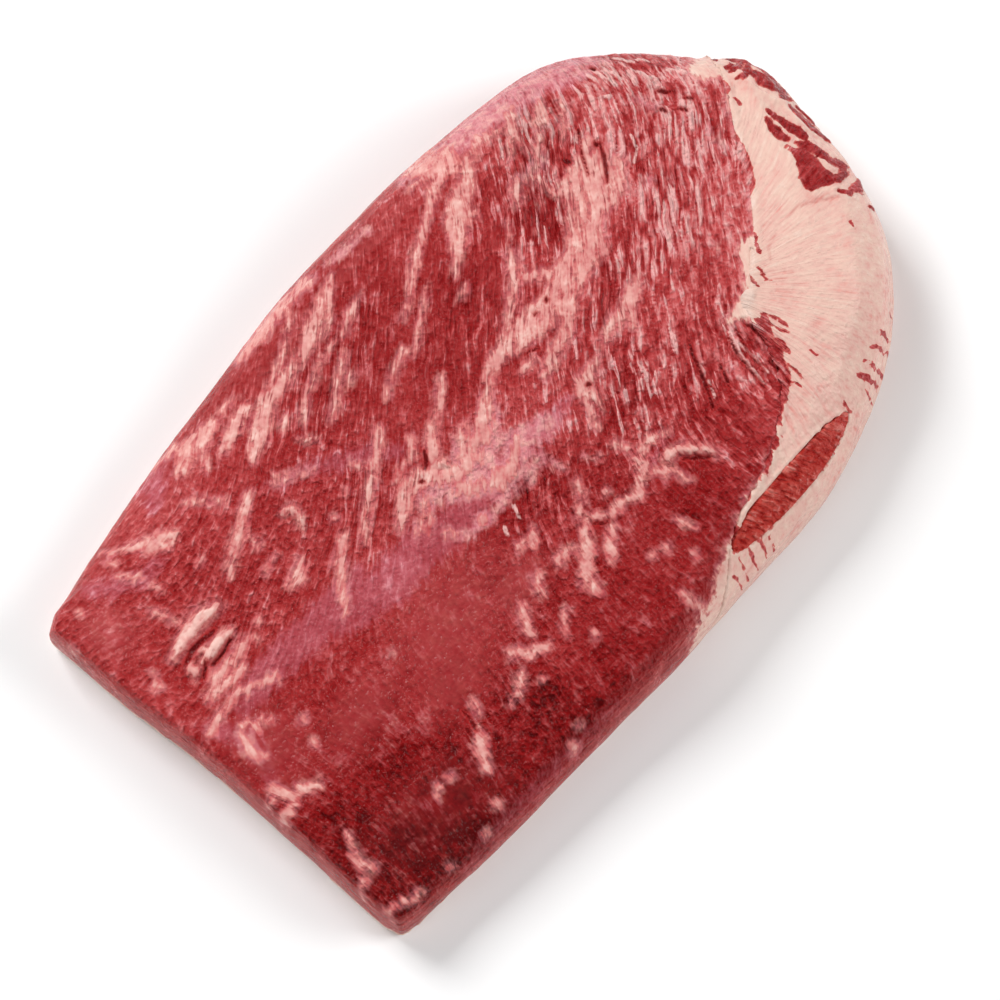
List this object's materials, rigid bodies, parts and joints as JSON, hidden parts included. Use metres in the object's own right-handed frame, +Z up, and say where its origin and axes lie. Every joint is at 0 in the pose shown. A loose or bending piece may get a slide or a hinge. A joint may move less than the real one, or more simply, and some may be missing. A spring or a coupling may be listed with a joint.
{
  "type": "raw beef brisket",
  "caption": "Whole raw beef brisket lying lean side up on its fat cap: square-cut thin end, rounded thick end with a bank of hard fat and a strip of the second muscle",
  "frame": {"origin": "middle of the base of the bounding box, on the surface that the meat lies on", "axes": "+X from the square-cut thin end to the rounded thick end, +Y across towards the side without the bank of fat, +Z up out of the lean side"},
  "size_m": [0.4638, 0.28, 0.0712],
  "materials": {
    "lean": "moist red meat with pale marbling",
    "fat": "waxy cream hard fat, slightly moist",
    "point_lean": "moist red meat cut across the grain"
  },
  "bodies": {
    "root": {"flat_muscle": "lean", "fat_cap": "fat", "point_muscle": "point_lean"}
  },
  "joints": []
}
